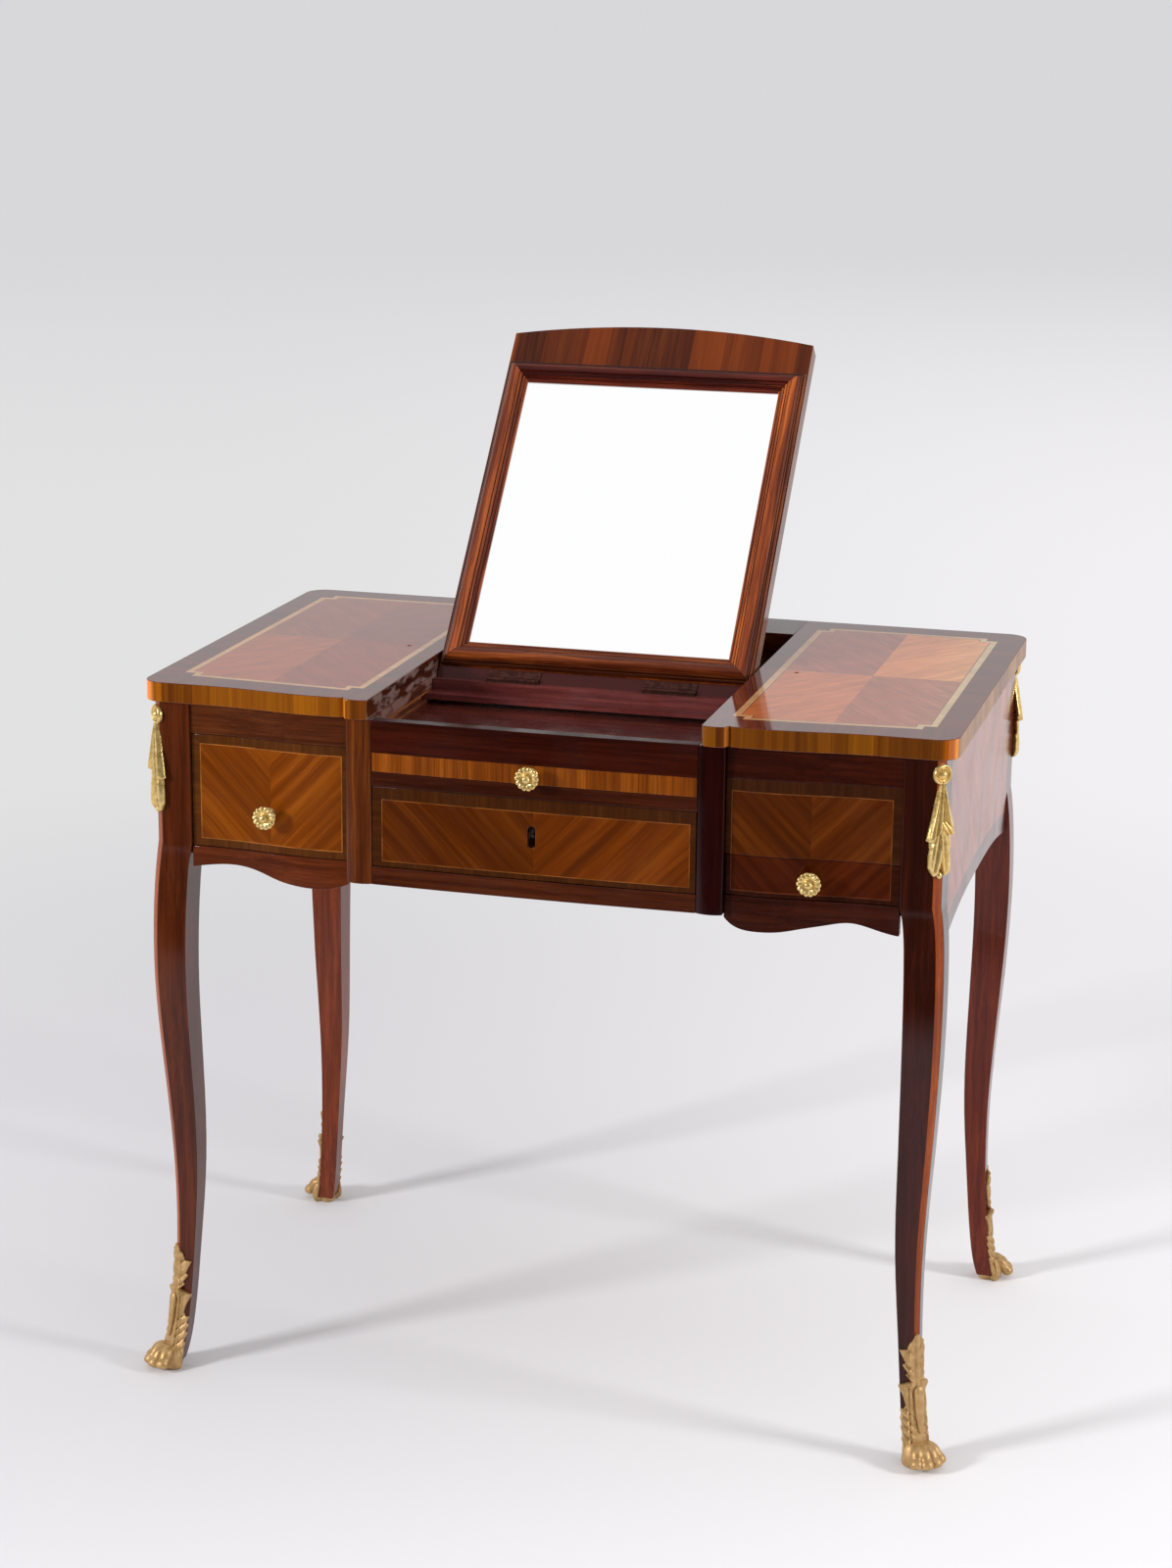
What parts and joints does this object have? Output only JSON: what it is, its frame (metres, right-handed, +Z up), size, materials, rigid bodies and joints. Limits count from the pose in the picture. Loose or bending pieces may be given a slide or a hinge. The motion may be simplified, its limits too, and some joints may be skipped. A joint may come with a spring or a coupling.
{
  "type": "poudreuse dressing table",
  "caption": "Veneered dressing table on cabriole legs with gilt paw feet: a mirror that rises and slides, lidded side wells, a writing slide and drawers.",
  "frame": {"origin": "on the floor under the middle of the whole piece at rest, with the mirror raised", "axes": "+Z up, -Y towards the sitter (the fronts of the drawers), +X to the sitter's right"},
  "size_m": [0.8574, 0.5526, 1.0515],
  "materials": {
    "gilt_bronze": "gilt, satin with burnished high points",
    "hinge_brass": "dull brass",
    "lock_steel": "dark iron",
    "mirror_plate": "silvered glass, bevelled",
    "frame_mahogany": "polished mahogany",
    "top_veneer": "quartered tulipwood and rosewood veneer, polished",
    "drawer_oak": "plain oak, dry",
    "leg_veneer": "dark rosewood veneer, polished",
    "case_veneer": "dark rosewood and tulipwood veneer, polished"
  },
  "bodies": {
    "case": {"apron_left": "case_veneer", "apron_right": "case_veneer", "back_panel": "case_veneer", "block_top_rail_left": "case_veneer", "block_top_rail_right": "case_veneer", "bottom_board_centre": "drawer_oak", "bottom_board_left": "drawer_oak", "bottom_board_right": "drawer_oak", "centre_bottom_rail": "case_veneer", "centre_top_rail": "case_veneer", "centre_well_floor": "drawer_oak", "corner_mount_back_left": "gilt_bronze", "corner_mount_back_right": "gilt_bronze", "corner_mount_front_left": "gilt_bronze", "corner_mount_front_right": "gilt_bronze", "drawer_runners": "drawer_oak", "false_panel_right": "case_veneer", "left_tray": "drawer_oak", "leg_back_left": "leg_veneer", "leg_back_right": "leg_veneer", "leg_front_left": "leg_veneer", "leg_front_right": "leg_veneer", "lid_hinge_case_leaves": "hinge_brass", "partition_left": "case_veneer", "partition_right": "case_veneer", "rear_cross_rail": "drawer_oak", "rear_strip": "top_veneer", "right_well_floor": "drawer_oak", "sabot_back_left": "gilt_bronze", "sabot_back_right": "gilt_bronze", "sabot_front_left": "gilt_bronze", "sabot_front_right": "gilt_bronze", "side_panel_left": "case_veneer", "side_panel_right": "case_veneer", "slide_rail": "case_veneer", "slide_runners": "drawer_oak", "stile_left": "case_veneer", "stile_right": "case_veneer"},
    "lid_left": {"lid_left": "top_veneer", "lid_hinge_leaves_left": "hinge_brass"},
    "lid_right": {"lid_right": "top_veneer", "lid_hinge_leaves_right": "hinge_brass"},
    "mirror_slider": {"mirror_slider": "case_veneer", "mirror_hinge_batten_leaves": "hinge_brass"},
    "mirror_panel": {"mirror_board": "top_veneer", "mirror_frame": "frame_mahogany", "mirror_glass": "mirror_plate", "mirror_hinge_panel_leaves": "hinge_brass"},
    "writing_slide": {"slide_board": "drawer_oak", "slide_front": "case_veneer", "slide_knob": "gilt_bronze"},
    "centre_drawer": {"centre_drawer_front": "case_veneer", "centre_drawer_box": "drawer_oak", "centre_drawer_lock": "lock_steel"},
    "left_drawer": {"left_drawer_front": "case_veneer", "left_drawer_box": "drawer_oak", "left_drawer_knob": "gilt_bronze"},
    "right_drawer": {"right_drawer_front": "case_veneer", "right_drawer_box": "drawer_oak", "right_drawer_knob": "gilt_bronze"}
  },
  "joints": [
    {"name": "mirror_slide", "type": "slide", "parent": "case", "child": "mirror_slider", "axis": [0, 1, 0], "range_m": [0, 0.211]},
    {"name": "mirror_tilt", "type": "hinge", "parent": "mirror_slider", "child": "mirror_panel", "pos_m": [0, -0.03793, 0.7189], "axis": [1, 0, 0], "range_deg": [0, 131]},
    {"name": "lid_right_hinge", "type": "hinge", "parent": "case", "child": "lid_right", "pos_m": [0.3991, 0.01017, 0.72], "axis": [0, 1, 0], "range_deg": [0, 95]},
    {"name": "lid_left_hinge", "type": "hinge", "parent": "case", "child": "lid_left", "pos_m": [-0.3991, 0.01017, 0.72], "axis": [0, -1, 0], "range_deg": [0, 95]},
    {"name": "writing_slide_pull", "type": "slide", "parent": "case", "child": "writing_slide", "axis": [0, -1, 0], "range_m": [0, 0.23]},
    {"name": "centre_drawer_pull", "type": "slide", "parent": "case", "child": "centre_drawer", "axis": [0, -1, 0], "range_m": [0, 0.25]},
    {"name": "left_drawer_pull", "type": "slide", "parent": "case", "child": "left_drawer", "axis": [0, -1, 0], "range_m": [0, 0.25]},
    {"name": "right_drawer_pull", "type": "slide", "parent": "case", "child": "right_drawer", "axis": [0, -1, 0], "range_m": [0, 0.25]}
  ],
  "couplings": [
    {"joint": "mirror_tilt", "follows": "mirror_slide", "rad_per_m": 10.836}
  ]
}
